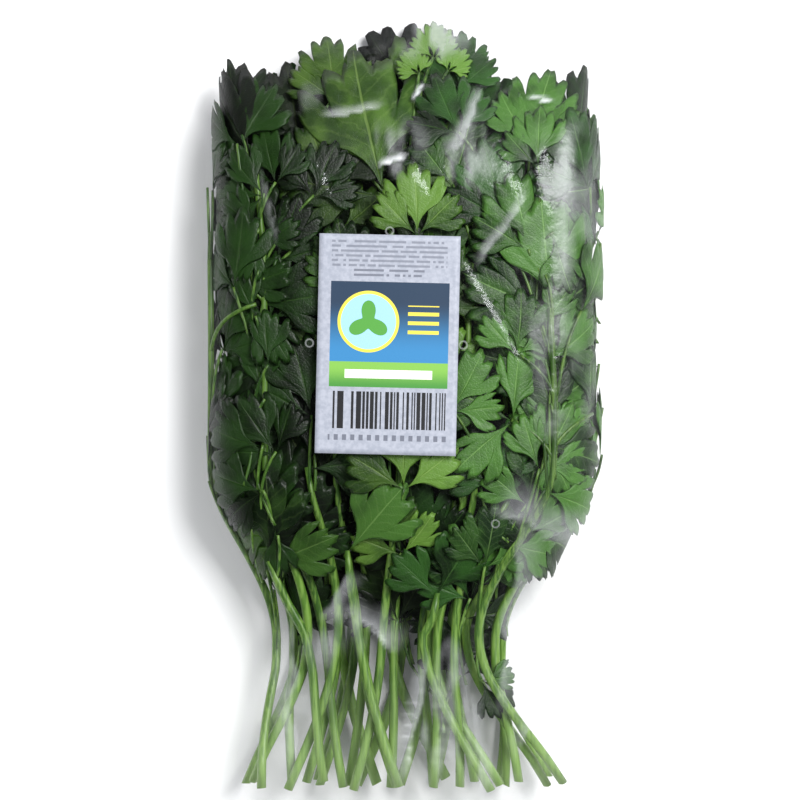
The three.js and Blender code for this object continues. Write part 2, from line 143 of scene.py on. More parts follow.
# The leafy stems, each with leaflets at its top knot and on pairs of side branches
stems = {
    "seed": 33,
    "trefoil": [0, -66, 66],
    # layer, the top knot's place round it and height, lean, size of the leaflets, pairs of side
    # branches, headings of the leaflets at the top, colour
    "front": [
        (0, -51, -57, -10, 1.05, 0, [0, -66, 66], "fresh"),
        (0, -20, -53, 0, 1.25, 0, [-39, 39], "fresh"),
        (0, 17, -68, 0, 1.2, 0, [30, -48], "deep"),
        (0, 50, 31, -4, 1.3, 2, [0, -66, 66], "fresh"),
        (0, -76, 58, -4, 1.15, 2, [0, -66, 66], "deep"),
        (0, 92, 70, -4, 1.15, 2, [0, -66, 66], "fresh"),
        (1, -7, 70, -14, 1.75, 2, [0, -66, 66], "young"),
        (1, 26, 62, 10, 1.25, 1, [0, -66, 66], "fresh"),
        (1, 37, -34, 45, 1.25, 0, [-8, 70], "deep"),
        (1, -52, 82, -8, 1.25, 2, [0, -66, 66], "deep"),
        (1, 62, 84, -4, 1.1, 2, [0, -66, 66], "deep"),
        (1, -34, -24, -8, 1.15, 0, [0, -66, 66], "deep"),
    ],
    # layer, first one's place as a share of the half girth, step, count, tops, pairs, colour
    "rows": [
        (0, 0.76, 0.2, 4, [-20, 70], 2, "fresh"),
        (1, 0.62, 0.2, 4, [8, 87], 2, "deep"),
        (2, -0.82, 0.33, 6, [20, 92], 2, "deep"),
        (2, -0.325, 0.66, 2, [-42], 0, "deep"),
        (3, -0.3, 0.3, 3, [84, 98], 1, "young"),
        (3, -0.15, 0.3, 2, [-30], 0, "deep"),
    ],
    "rowSize": 1.15,
    "endY": -133,
    "stemRadius": 1.6,
    "petioleRadius": 1.1,
    "stalkRadius": 0.7,
    "leafletLength": 31,
    "internode": 40,
    "stalkLength": 28,
    "twist": [0.12, -0.1, 0.14, -0.05],
    "drawnIn": 0.19,  # how far the stems come together at the bunch's waist, as a share of its width
    "drawnLeft": 4,
    "endSpread": 1.05,
    "elbowRoom": 0.07,
    "elbowRounds": 60,
    "ringHeights": [-114, -94, -80, -67, -54, -40, -22, 4, 30, 56, 80],
    "stalkRoom": 0.6,
    "leafRoom": 0.9,
    "tipZoneY": 100,
    "narrowing": 0.66,
    "fanTurns": [0, 12, -12, 24, -24],
    "leafletScales": [1, 0.84, 0.7],
    "outerLength": 0.82,  # the top's outer leaflets, as a share of the middle one's length
    "branchSlants": (42, 58, 30),
    "branchStretches": (1, 0.7, 1.35),
    "branchLength": 0.85,
    "branchOuterLength": 0.78,
    "looks": {"cup": (1.6, -0.5), "roll": (2, -1), "pitch": (1.2, -0.4)},
}


# The same draws as the solid parts are laid out with
def seeded(seed):
    state = seed

    def draw():
        nonlocal state
        state = (state + 0x6D2B79F5) & 0xFFFFFFFF
        t = ((state ^ (state >> 15)) * (state | 1)) & 0xFFFFFFFF
        t ^= (t + ((t ^ (t >> 7)) * (t | 61) & 0xFFFFFFFF)) & 0xFFFFFFFF
        return ((t ^ (t >> 14)) & 0xFFFFFFFF) / 4294967296

    return draw


# How leaflets cup, roll and pitch: each a draw times a span, plus its least value
def drawLooks(draw, ranges, count=3):
    return [{key: draw() * span + least for key, (span, least) in ranges.items()} for _ in range(count)]


# What is laid already, as discs: layer, owner, leaf or stalk, arc, y, radius
class Laid:
    def __init__(self):
        self.discs = np.zeros((0, 6))

    def add(self, discs):
        self.discs = np.vstack([self.discs, discs])

    def isFree(self, discs, room):
        p = discs[:, None, :]
        q = self.discs[None, :, :]
        dy = np.abs(p[..., 4] - q[..., 4])
        reach = p[..., 5] + q[..., 5] + room
        inTip = (p[..., 4] > stems["tipZoneY"]) & (q[..., 4] > stems["tipZoneY"])
        sees = np.abs(p[..., 0] - q[..., 0]) <= inTip
        own = (p[..., 1] == q[..., 1]) & ~((p[..., 2] == 1) & (q[..., 2] == 1))
        girth = 2 * oval(discs[:, 0], discs[:, 4])[4][:, None]
        around = np.abs(p[..., 3] - q[..., 3])
        around = np.minimum(around, np.abs(girth - around))
        return not np.any(sees & ~own & (dy <= reach) & (np.hypot(around, dy) < reach))


def discsOfLeaflet(leaflet):
    discs = []
    length, heading = leaflet["length"], leaflet["heading"]
    for along, aside, size in [(0.3, 0, 0.15), (0.8, 0, 0.21), (0.57, -0.29, 0.24), (0.57, 0.29, 0.24)]:
        squeeze = stems["narrowing"] if aside * leaflet["narrowSide"] > 0 else 1
        out = aside * squeeze
        arc = leaflet["arc"] + length * (along * math.sin(heading) + out * math.cos(heading))
        y = leaflet["y"] + length * (along * math.cos(heading) - out * math.sin(heading))
        radius = length * size * (squeeze if aside else 1)
        discs.append((leaflet["layer"], leaflet.get("owner", 0), 1, arc, y, radius))
    return np.array(discs)


def discsOfFan(leaflets):
    return np.vstack([discsOfLeaflet(leaflet) for leaflet in leaflets])


def discsOfPath(path, layer, owner):
    discs = []
    for a, b in zip(path, path[1:]):
        steps = max(1, math.ceil(math.hypot(b[0] - a[0], b[1] - a[1]) / 3))
        for k in range(steps):
            share = (k + 0.5) / steps
            discs.append((layer, owner, 0, *(mix(p, q, share) for p, q in zip(a, b))))
    return np.array(discs)


# Where a stem is at height y: a smooth curve through four places round its layer
def stemCurve(plan, waistShare, endY):
    topHalf = halfGirth(plan["layer"], plan["top"])
    lean = max(-0.2, min(0.2, math.tan(math.radians(plan["lean"])) * 0.6)) / topHalf
    below = min(stems["internode"], (plan["top"] - bag["waistY"]) / 2)
    topShare = plan["arc"] / topHalf
    through = [
        (endY, waistShare * stems["endSpread"] + stems["twist"][plan["layer"]]),
        (bag["waistY"], waistShare),
        (plan["top"] - below, topShare - below * lean),
        (plan["top"], topShare),
    ]
    slopes = []
    for i in range(4):
        a, b = through[max(0, i - 1)], through[min(3, i + 1)]
        slopes.append((b[1] - a[1]) / (b[0] - a[0]))

    def at(y):
        i = 0 if y < bag["waistY"] else 1 if y < plan["top"] - below else 2
        a, b = through[i], through[i + 1]
        run = b[0] - a[0]
        t = (y - a[0]) / run
        start = slopes[i] * run - (b[1] - a[1])
        end = slopes[i + 1] * run - (b[1] - a[1])
        share = mix(a[1], b[1], t) + t * (1 - t) * (start * (1 - t) - end * t)
        thickening = float(ease(bag["bellyY"], bag["waistY"], y))
        radius = mix(stems["petioleRadius"], stems["stemRadius"], thickening)
        return share * halfGirth(plan["layer"], y), y, radius

    return at


def stemPath(plan, curve, endY, heights):
    inside = [y for y in heights if endY + 8 < y < plan["top"] - 6]
    path = [curve(y) for y in [endY, *inside, plan["top"]]]
    radius = stems["stalkRadius"] + 0.1
    path[-1] = (path[-1][0], path[-1][1] + radius, radius)
    return path


def pointAlong(path, y):
    above = max(1, next((i for i, at in enumerate(path) if at[1] >= y), -1))
    a, b = path[above - 1], path[above]
    return mix(a[0], b[0], (y - a[1]) / (b[1] - a[1])), y, stems["stalkRadius"]


# The leaflets that find room round a knot, for the turn of the whole fan that holds most
def bestFan(foot, heading, lengths, laid, looks):
    best, bestScore = [], 0
    for turn in stems["fanTurns"]:
        leaflets = []
        for at, length, narrowSide in lengths:
            for scale in stems["leafletScales"]:
                leaflet = {
                    **foot,
                    "heading": heading + math.radians(turn + at),
                    "length": length * scale,
                    "narrowSide": narrowSide,
                    **looks[len(leaflets)],
                }
                if laid.isFree(discsOfLeaflet(leaflet), stems["leafRoom"]):
                    leaflets.append(leaflet)
                    break
        score = sum(leaflet["length"] ** 2 for leaflet in leaflets)
        if score > bestScore * 1.05:
            best, bestScore = leaflets, score
    return best, bestScore


def planStems():
    keys = ["layer", "arc", "top", "lean", "size", "pairs", "fan", "tone"]
    plans = [dict(zip(keys, row)) for row in stems["front"]]
    for layer, start, step, count, tops, pairs, tone in stems["rows"]:
        for i in range(count):
            share = start + step * i
            share = share - 2 if share > 1 else share
            arc = share * halfGirth(layer, 0)
            paint = "fresh" if i % 3 == 2 else tone
            top = tops[i % len(tops)]
            row = (layer, arc, top, 6 * (i % 3) - 6, stems["rowSize"], pairs, stems["trefoil"], paint)
            plans.append(dict(zip(keys, row)))
    return plans


def layOut():
    draw = seeded(stems["seed"])
    laid = Laid()
    built = [{"plan": plan, "stalks": [], "fans": [], "sprigs": []} for plan in planStems()]

    # stems first; at the waist each stands below its top, moved over where two would touch
    for layer in range(4):
        inLayer = [one for one in built if one["plan"]["layer"] == layer]
        ordered = sorted(inLayer, key=lambda one: one["plan"]["arc"])
        shares = [one["plan"]["arc"] / halfGirth(layer, 0) for one in ordered]
        for _ in range(stems["elbowRounds"]):
            for i in range(len(shares)):
                after = (i + 1) % len(shares)
                gap = shares[after] - shares[i] + (2 if after == 0 else 0)
                push = max(0, stems["elbowRoom"] - gap) / 2
                shares[i] -= push
                shares[after] += push
        for one, share in zip(ordered, shares):
            one["endY"] = stems["endY"] - 4 * draw()
            one["curve"] = stemCurve(one["plan"], share, one["endY"])
            one["stem"] = stemPath(one["plan"], one["curve"], one["endY"], stems["ringHeights"])
    for owner, one in enumerate(built):
        laid.add(discsOfPath(one["stem"], one["plan"]["layer"], owner))

    # then the leaflets at the tops
    for owner, one in enumerate(built):
        plan = one["plan"]
        foot = {"layer": plan["layer"], "owner": owner, "arc": plan["arc"], "y": plan["top"]}
        length = stems["leafletLength"] * plan["size"]
        lengths = []
        for i, at in enumerate(plan["fan"]):
            narrow = -np.sign(at) if len(plan["fan"]) > 2 else 0
            lengths.append((at, length if i == 0 else length * stems["outerLength"], narrow))
        looks = drawLooks(draw, stems["looks"])
        leaflets, _ = bestFan(foot, math.radians(plan["lean"]), lengths, laid, looks)
        if leaflets:
            one["fans"].append(leaflets)
            laid.add(discsOfFan(leaflets))

    # last the side branches, each at the slant and length that leave most room for leaves
    for level in (1, 2):
        for owner, one in enumerate(built):
            plan = one["plan"]
            if plan["pairs"] < level:
                continue
            for side in (-1, 1):
                nodeY = plan["top"] - stems["internode"] * plan["size"] * (level - 0.12 + 0.15 * draw())
                looks = drawLooks(draw, stems["looks"])
                if nodeY < bag["bellyY"] - 12:
                    continue
                branch = bestBranch(plan, owner, pointAlong(one["stem"], nodeY), side, laid, looks)
                if branch is None:
                    continue
                path, leaflets = branch
                one["stalks"].append(path)
                one["fans"].append(leaflets)
                laid.add(discsOfPath(path, plan["layer"], owner))
                laid.add(discsOfFan(leaflets))
    return built


def bestBranch(plan, owner, node, side, laid, looks):
    best, bestScore = None, 0
    radius = stems["stalkRadius"]
    outer = stems["branchOuterLength"]
    for slant in stems["branchSlants"]:
        for stretch in stems["branchStretches"]:
            heading = math.radians(plan["lean"]) + side * math.radians(slant)
            run = stems["stalkLength"] * stretch

            def outward(far, turn):
                to = heading + turn
                return node[0] + far * math.sin(to), node[1] + far * math.cos(to), radius

            end = outward(run, 0)
            path = [node, outward(run / 2, math.radians(-12) * side), end]
            if not laid.isFree(discsOfPath(path, plan["layer"], owner), stems["stalkRoom"]):
                continue
            foot = {"layer": plan["layer"], "owner": owner, "arc": end[0], "y": end[1]}
            length = stems["leafletLength"] * plan["size"] * stems["branchLength"]
            lengths = [(at, length if at == 0 else length * outer, -np.sign(at)) for at in stems["trefoil"]]
            leaflets, score = bestFan(foot, heading + math.radians(4) * side, lengths, laid, looks)
            if score > bestScore * 1.05:
                path[2] = outward(run + radius, 0)
                best, bestScore = (path, leaflets), score
    return best


built = layOut()

# Smaller leaves that fill the space between the layers, each on a stalk from the nearest stem
filling = {
    "seed": 5,
    # layer, tries, share of a layer's sway, and from where to where round the layer's half girth
    "levels": [
        (-0.28, 130, 0.2, 0, 1),
        (-0.2, 150, 0.1, 0.36, 0.6),
        (0.2, 90, 0.3, 0.2, 0.55),
        (0.5, 420, 0.5, 0, 1),
        (1.5, 420, 0.6, 0, 1),
        (2.5, 300, 0.6, 0, 1),
    ],
    "shortest": 21,
    "longest": 33,
    "room": -3.5,
    "lowest": -68,
    "highest": 116,
    "tipY": 133,  # no leaflet's tip lies beyond this, because the bag closes there
    "rightDrop": 28,  # how much lower the leaves end at the bunch's right and left shoulders
    "leftDrop": 20,
    "reach": 24,
    "spread": (42, 62),
    "lengths": (1, 0.78, 0.78),
    "looks": {"cup": (1.6, -0.6), "roll": (2, -1), "pitch": (1.4, -0.5)},
}


def nearestStem(level, arc, y):
    best, bestFar = None, filling["reach"]
    for one in built:
        plan = one["plan"]
        if not one["endY"] + 20 < y < plan["top"] - 4:
            continue
        half = halfGirth(level, y)
        stemArc = one["curve"](y)[0] * half / halfGirth(plan["layer"], y)
        stemArc = min((stemArc, stemArc - 2 * half, stemArc + 2 * half), key=lambda at: abs(at - arc))
        far = abs(stemArc - arc) + 5 * abs(plan["layer"] - level)
        if far < bestFar:
            best, bestFar = (one, stemArc), far
    return best


# Three leaflets on one foot: the middle one and one to each side
def trefoil(foot, heading, spread, lengths, looks):
    return [
        {**foot, **look, "heading": heading + math.radians(at), "length": length, "narrowSide": -np.sign(at)}
        for at, length, look in zip((0, -spread, spread), lengths, looks)
    ]


def addSprig(leaflets, found, startY):
    one, stemArc = found
    one["sprigs"].append((leaflets, (one["plan"]["layer"], *one["curve"](startY)[:2], stemArc)))


def fillIn():
    draw = seeded(filling["seed"])
    for level, tries, sway, inner, outer in filling["levels"]:
        laid = Laid()
        for _ in range(tries):
            y = mix(filling["lowest"] - 12 * max(0, level), filling["highest"], draw())
            half = halfGirth(level, y)
            side = 2 * draw() - 1
            arc = math.copysign(mix(inner, outer, abs(side)), side) * half
            heading = math.radians(60 * (draw() - 0.5) + 20 * arc / half)
            length = mix(filling["shortest"], filling["longest"], draw())
            foot = {"layer": level, "arc": arc, "y": y, "sway": sway}
            looks = drawLooks(draw, filling["looks"])
            spread = mix(*filling["spread"], draw())
            lengths = [length * share for share in filling["lengths"]]
            leaflets = trefoil(foot, heading, spread, lengths, looks)
            discs = discsOfFan(leaflets)
            back = 18 + 12 * draw()
            found = nearestStem(level, arc, y - back)
            footX = float(place(level, arc, y, 0)[0])
            drop = filling["rightDrop"] * ease(16, 38, footX) + filling["leftDrop"] * ease(-50, -62, footX)
            tipY = max(y + leaflet["length"] * math.cos(leaflet["heading"]) for leaflet in leaflets)
            fits = y < filling["highest"] - drop and tipY < filling["tipY"] - 0.4 * drop
            if found is None or not fits or not laid.isFree(discs, filling["room"]):
                continue
            laid.add(discs)
            addSprig(leaflets, found, y - back)


fillIn()

# leaves that stand out in front: foot x and y, heading and half spread in degrees, length, how
# pale, and where their stalk leaves a stem
accents = [
    (10, 120, 4, 44, 15, 1, (2, 67)),
    (15, 115, 34, 44, 11, 1, (2, 67)),
    (5, 114, -30, 44, 11, 1, (2, 67)),
    (40, -50, 104, 50, 21, 0.5, (28, -30)),
    (36, -98, 116, 34, 20, -0.3, (32, -84)),
    (-46, -44, -128, 50, 24, 0.1, (-40, -24)),
    (-56, -30, -100, 50, 22, 0.2, (-48, -12)),
    (52, -28, 118, 50, 24, 0, (44, -8)),
]
accentLook = {"cup": 0.3, "roll": 0.2, "pitch": 0.1}
accentSides = 0.75  # length of the leaflets at the sides, as a share of the middle one's


def addAccents():
    for x, y, degrees, spread, length, pale, (stemX, stemY) in accents:
        foot = {"layer": -0.1, "arc": x, "y": y, "sway": 0.2, "pale": pale}
        lengths = [length, accentSides * length, accentSides * length]
        leaflets = trefoil(foot, math.radians(degrees), spread, lengths, [accentLook] * 3)
        addSprig(leaflets, nearestStem(0, stemX, stemY), stemY)


addAccents()

# leaves whose tips reach out over the bunch's left and right edges
edgeLeaves = {
    "seed": 21,
    "lowest": -50,
    "highest": 82,
    "step": 15,
    "foot": 47,
    "length": 26,
    "lengths": (1, 0.8, 0.8),
    "headings": (52, 112),
    "spread": (40, 56),
    "looks": {"cup": (1, -0.3), "roll": (1, -0.5), "pitch": (0.3, 0)},
}


def addEdgeLeaves():
    draw = seeded(edgeLeaves["seed"])
    for side in (-1, 1):
        for lower in np.arange(edgeLeaves["lowest"], edgeLeaves["highest"], edgeLeaves["step"]):
            y = lower + 6 * draw()
            x = side * (edgeLeaves["foot"] + 5 * draw() - 0.12 * max(0, -y - 15))
            heading = side * math.radians(mix(*edgeLeaves["headings"], draw()) + (18 if y < -20 else 0))
            spread = mix(*edgeLeaves["spread"], draw())
            foot = {"layer": -0.2, "arc": x, "y": y, "sway": 0.2}
            lengths, looks = [], []
            for share in edgeLeaves["lengths"]:
                lengths.append(edgeLeaves["length"] * mix(0.9, 1.1, draw()) * share)
                looks += drawLooks(draw, edgeLeaves["looks"], 1)
            startY = y - 14 - 8 * draw()
            found = nearestStem(0, x - side * 5, startY)
            if found:
                addSprig(trefoil(foot, heading, spread, lengths, looks), found, startY)


addEdgeLeaves()
leafletCount = sum(len(leaflets) for one in built for leaflets in one["fans"])
sprigCount = sum(len(one["sprigs"]) for one in built)
print("laid out", len(built), "leafy stems with", leafletCount, "leaflets and", sprigCount, "filling sprigs")


# Mesh helpers. Every sheet carries three values that its material reads: two coordinates and a
# shade, or on the film its milkiness with painted sheen and the way to its nearest air hole.
class Maker:
    def __init__(self):
        self.bm = bmesh.new()
        self.kept = [self.bm.verts.layers.float.new(name) for name in ("across", "along", "shade")]

    # A grid whose corners go to the given points (rows, columns, 3)
    def sheet(self, points, *values, slot=0):
        rows, columns = points.shape[:2]
        values = [np.broadcast_to(value, (rows, columns)) for value in values]
        made = bmesh.ops.create_grid(self.bm, x_segments=columns - 1, y_segments=rows - 1, size=1)["verts"]
        for vert in made:
            i = round((vert.co.x + 1) / 2 * (columns - 1))
            j = round((vert.co.y + 1) / 2 * (rows - 1))
            vert.co = points[j, i] * mm
            for kept, value in zip(self.kept, values):
                vert[kept] = value[j, i]
        for face in {face for vert in made for face in vert.link_faces}:
            face.material_index = slot
            face.smooth = True
        return made

    # The same, joined where its edges lie on each other
    def closed(self, points, *values, slot=0):
        made = self.sheet(points, *values, slot=slot)
        bmesh.ops.remove_doubles(self.bm, verts=made, dist=1e-6)

    def finish(self, name, materials, replaced):
        bmesh.ops.recalc_face_normals(self.bm, faces=self.bm.faces)
        mesh = bpy.data.meshes.new(name)
        self.bm.to_mesh(mesh)
        self.bm.free()
        for material in materials:
            mesh.materials.append(material)
        piece = bpy.data.objects.new(name, mesh)
        bpy.context.scene.collection.objects.link(piece)
        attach(piece, "root")
        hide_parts(replaced)
        return piece


def thicken(piece, thickness, offset):
    wall = piece.modifiers.new("wall", "SOLIDIFY")
    wall.thickness = thickness * mm
    wall.offset = offset


# Material helpers
def addNode(tree, kind, inputs=None, **settings):
    node = tree.nodes.new(kind)
    for key, value in settings.items():
        setattr(node, key, value)
    for key, value in (inputs or {}).items():
        if isinstance(value, bpy.types.NodeSocket):
            tree.links.new(value, node.inputs[key])
        else:
            node.inputs[key].default_value = value
    return node


def maths(tree, operation, *values, clamp=False):
    node = addNode(tree, "ShaderNodeMath", dict(enumerate(values)), operation=operation, use_clamp=clamp)
    return node.outputs[0]


def times(tree, a, b):
    return maths(tree, "MULTIPLY", a, b)


def without(tree, value):
    return maths(tree, "SUBTRACT", 1, value)


def noiseAt(tree, place, scale, detail):
    inputs = {"Vector": place, "Scale": scale, "Detail": detail}
    return addNode(tree, "ShaderNodeTexNoise", inputs).outputs[0]


def whiteNoise(tree, x, y):
    cell = addNode(tree, "ShaderNodeCombineXYZ", {0: x, 1: y}).outputs[0]
    return addNode(tree, "ShaderNodeTexWhiteNoise", {"Vector": cell}, noise_dimensions="2D").outputs[0]


def addBump(tree, shader, height, strength, distance):
    inputs = {"Height": height, "Strength": strength, "Distance": distance}
    bump = addNode(tree, "ShaderNodeBump", inputs)
    feed(tree, shader, Normal=bump.outputs[0])


def blend(tree, share, a, b, mode="MIX"):
    inputs = {0: share, 6: a, 7: b}
    return addNode(tree, "ShaderNodeMix", inputs, data_type="RGBA", blend_type=mode).outputs[2]


def between(tree, value, low, high):
    over = maths(tree, "GREATER_THAN", value, low)
    return times(tree, over, maths(tree, "LESS_THAN", value, high))


def softStep(tree, value, low, high):
    node = addNode(tree, "ShaderNodeMapRange", {0: value, 1: low, 2: high}, interpolation_type="SMOOTHSTEP")
    return node.outputs[0]


def attribute(tree, name):
    return addNode(tree, "ShaderNodeAttribute", attribute_name=name).outputs["Fac"]


def objectPlace(tree):
    return addNode(tree, "ShaderNodeTexCoord").outputs["Object"]


def newMaterial(name, **constants):
    material = bpy.data.materials.new(name)
    material.use_nodes = True
    tree = material.node_tree
    shader = tree.nodes["Principled BSDF"]
    for key, value in constants.items():
        shader.inputs[key.replace("_", " ")].default_value = value
    return material, tree, shader, objectPlace(tree)


def feed(tree, shader, **values):
    for key, value in values.items():
        tree.links.new(value, shader.inputs[key.replace("_", " ")])


def colour(hexCode):
    parts = [((hexCode >> shift) & 255) / 255 for shift in (16, 8, 0)]
    return (*[c / 12.92 if c <= 0.04045 else ((c + 0.055) / 1.055) ** 2.4 for c in parts], 1)


# Veins of a leaflet: a rib from the foot to the tip and slanting side veins
def makeVeinGroup():
    group = bpy.data.node_groups.new("leafVeins", "ShaderNodeTree")
    for name, way in (("Across", "INPUT"), ("Along", "INPUT"), ("Vein", "OUTPUT"), ("Height", "OUTPUT")):
        group.interface.new_socket(name, in_out=way, socket_type="NodeSocketFloat")
    start = addNode(group, "NodeGroupInput")
    end = addNode(group, "NodeGroupOutput")
    place = objectPlace(group)
    wander = noiseAt(group, place, 260, 2)
    along = start.outputs["Along"]
    aside = times(group, maths(group, "ABSOLUTE", start.outputs["Across"]), along)
    width = maths(group, "MULTIPLY_ADD", along, -0.026, 0.034)
    rib = without(group, softStep(group, aside, times(group, width, 0.4), width))
    # side veins leave the rib and run out to the teeth
    slant = maths(group, "MULTIPLY_ADD", aside, -0.62, along)
    wavy = maths(group, "MULTIPLY_ADD", wander, 0.09, slant)
    saw = maths(group, "FRACT", times(group, wavy, 8.5))
    near = maths(group, "MINIMUM", saw, without(group, saw))
    line = without(group, softStep(group, near, 0.02, 0.13))
    line = times(group, line, softStep(group, along, 0.16, 0.4))
    vein = maths(group, "MAXIMUM", rib, times(group, line, 0.26))
    net = addNode(group, "ShaderNodeTexVoronoi", {"Vector": place, "Scale": 900}, feature="DISTANCE_TO_EDGE")
    cell = softStep(group, net.outputs[0], 0.0, 0.22)
    group.links.new(vein, end.inputs["Vein"])
    height = maths(group, "MULTIPLY_ADD", cell, 0.35, times(group, vein, -1))
    group.links.new(height, end.inputs["Height"])
    return group


veinGroup = makeVeinGroup()
leafColours = {
    "young": {"dark": 0x26470E, "light": 0x5E8631, "vein": 0x90B062, "slot": "leaf_green_light"},
    "fresh": {"dark": 0x0E2A07, "light": 0x426E27, "vein": 0x7DA45C, "slot": "leaf_green"},
    "deep": {"dark": 0x071A03, "light": 0x285218, "vein": 0x46702E, "slot": "leaf_green_dark"},
}
leafPaint = {
    "patchScale": 95,
    "patchShare": 0.4,
    "veinShare": 0.4,
    "inner": (0.13, 0.15, 0.1, 1),  # painted shade: what the colour of the inner leaves is multiplied by
    "left": (0.34, 0.34, 0.16, 1),  # and that of the leaves on the bunch's left, a painted shade
    "leftShadeShare": 0.85,
    "leftShadeFrom": -0.05,
    "leftShadeTo": 0.035,
    "relief": 0.25,
}


def makeLeafMaterial(tone):
    paint = leafColours[tone]
    material, tree, shader, place = newMaterial("leaf" + tone.capitalize(), Specular_IOR_Level=0.36)
    veins = addNode(tree, "ShaderNodeGroup", node_tree=veinGroup)
    tree.links.new(attribute(tree, "across"), veins.inputs["Across"])
    tree.links.new(attribute(tree, "along"), veins.inputs["Along"])
    patches = softStep(tree, noiseAt(tree, place, leafPaint["patchScale"], 3), 0.32, 0.68)
    blotches = times(tree, patches, leafPaint["patchShare"])
    share = maths(tree, "MULTIPLY_ADD", attribute(tree, "shade"), 0.6, blotches, clamp=True)
    share = softStep(tree, share, 0.08, 0.86)
    base = blend(tree, share, colour(paint["dark"]), colour(paint["light"]))
    veined = times(tree, veins.outputs["Vein"], leafPaint["veinShare"])
    base = blend(tree, veined, base, colour(paint["vein"]))
    # painted shade: inner leaves are darkened as little light reaches them, and so is the bunch's left side
    inner = without(tree, softStep(tree, attribute(tree, "shade"), -0.75, 0.3))
    base = blend(tree, inner, base, leafPaint["inner"], "MULTIPLY")
    leftShade = addNode(tree, "ShaderNodeSeparateXYZ", {0: place}).outputs[0]
    leftShade = without(tree, softStep(tree, leftShade, leafPaint["leftShadeFrom"], leafPaint["leftShadeTo"]))
    base = blend(tree, times(tree, leftShade, leafPaint["leftShadeShare"]), base, leafPaint["left"], "MULTIPLY")
    speckle = noiseAt(tree, place, 1400, 2)
    feed(tree, shader, Base_Color=base, Roughness=maths(tree, "MULTIPLY_ADD", speckle, 0.16, 0.38))
    addBump(tree, shader, veins.outputs["Height"], 0.45, leafPaint["relief"] * mm)
    return material


def makeStemMaterial():
    material, tree, shader, place = newMaterial("stemSkin", Roughness=0.42)
    fibre = addNode(tree, "ShaderNodeMapping", {"Vector": place, "Scale": (900, 60, 900)}).outputs[0]
    streaks = noiseAt(tree, fibre, 1, 3)
    heightUp = addNode(tree, "ShaderNodeSeparateXYZ", {0: place}).outputs[1]
    pale = without(tree, softStep(tree, heightUp, -0.14, -0.085))
    # painted shade on the stems where they run among the leaves
    shadeAmongLeaves = times(tree, softStep(tree, heightUp, -0.085, -0.02), 0.8)
    share = maths(tree, "MAXIMUM", attribute(tree, "shade"), 0)
    body = blend(tree, share, colour(0x2A5015), colour(0x5F882F))
    fibres = times(tree, softStep(tree, streaks, 0.42, 0.6), 0.5)
    body = blend(tree, fibres, body, colour(0x86AA4E))
    body = blend(tree, times(tree, pale, 0.6), body, colour(0x93B06E))
    body = blend(tree, shadeAmongLeaves, body, (0.5, 0.56, 0.44, 1), "MULTIPLY")
    feed(tree, shader, Base_Color=body)
    addBump(tree, shader, streaks, 0.3, 0.2 * mm)
    return material


leafMaterials = {tone: makeLeafMaterial(tone) for tone in leafColours}
stemMaterial = makeStemMaterial()

# One half of a leaflet's edge, from its tip to its base: degrees from the rib and distance
# from the foot
leafShape = {
    "frontEdge": [
        (0, 1.0), (2.4, 0.985), (4.4, 0.935), (5.8, 0.885), (7, 0.865), (8.6, 0.895), (10.5, 0.93),
        (12.8, 0.93), (14.8, 0.9), (16.4, 0.84), (17.8, 0.76), (18.9, 0.68), (19.6, 0.64), (20.3, 0.68),
        (21.4, 0.77), (23, 0.84), (25, 0.88), (27, 0.89), (29, 0.87), (30.6, 0.82), (32, 0.785),
        (33.4, 0.79), (35, 0.765), (36.3, 0.69), (37.3, 0.56), (38, 0.4),
    ],
    "hiddenEdge": [
        (0, 1.0), (3, 0.965), (5.5, 0.88), (8, 0.91), (11, 0.92), (13.5, 0.87), (16, 0.7), (19, 0.75),
        (22, 0.84), (25, 0.88), (28, 0.88), (30, 0.83), (32, 0.77), (34.5, 0.76), (36.5, 0.62), (38, 0.43),
    ],
    "halfAngle": 38,
    "rings": [0.03, 0.12, 0.24, 0.38, 0.52, 0.66, 0.79, 0.9, 1.0],
    "hiddenRings": [0.03, 0.2, 0.4, 0.6, 0.8, 1.0],
    "baseWidth": 0.06,  # the foot's width, as a share of what straight sides would make it
    "wedge": 0.52,  # how far out a leaflet reaches its full width, as a share of its length
    "uneven": 0.05,  # how much the edge differs from leaflet to leaflet, but not at its base
    "evenFrom": 37,
    "acrossScale": 1.6,
    "twist": 0.12,
    "ribWidth": 2.6,
    "sideRibAt": 25,
    "sideRibWidth": 3,
    "thickness": 0.36,
    "wave": 0.22,
    "groove": 0.28,
    "innerShade": 0.36,  # painted shade: how much darker each layer's leaves are than those outside it
    "sideShift": 4.5,  # how far leaves at the bunch's sides may lie inwards
}


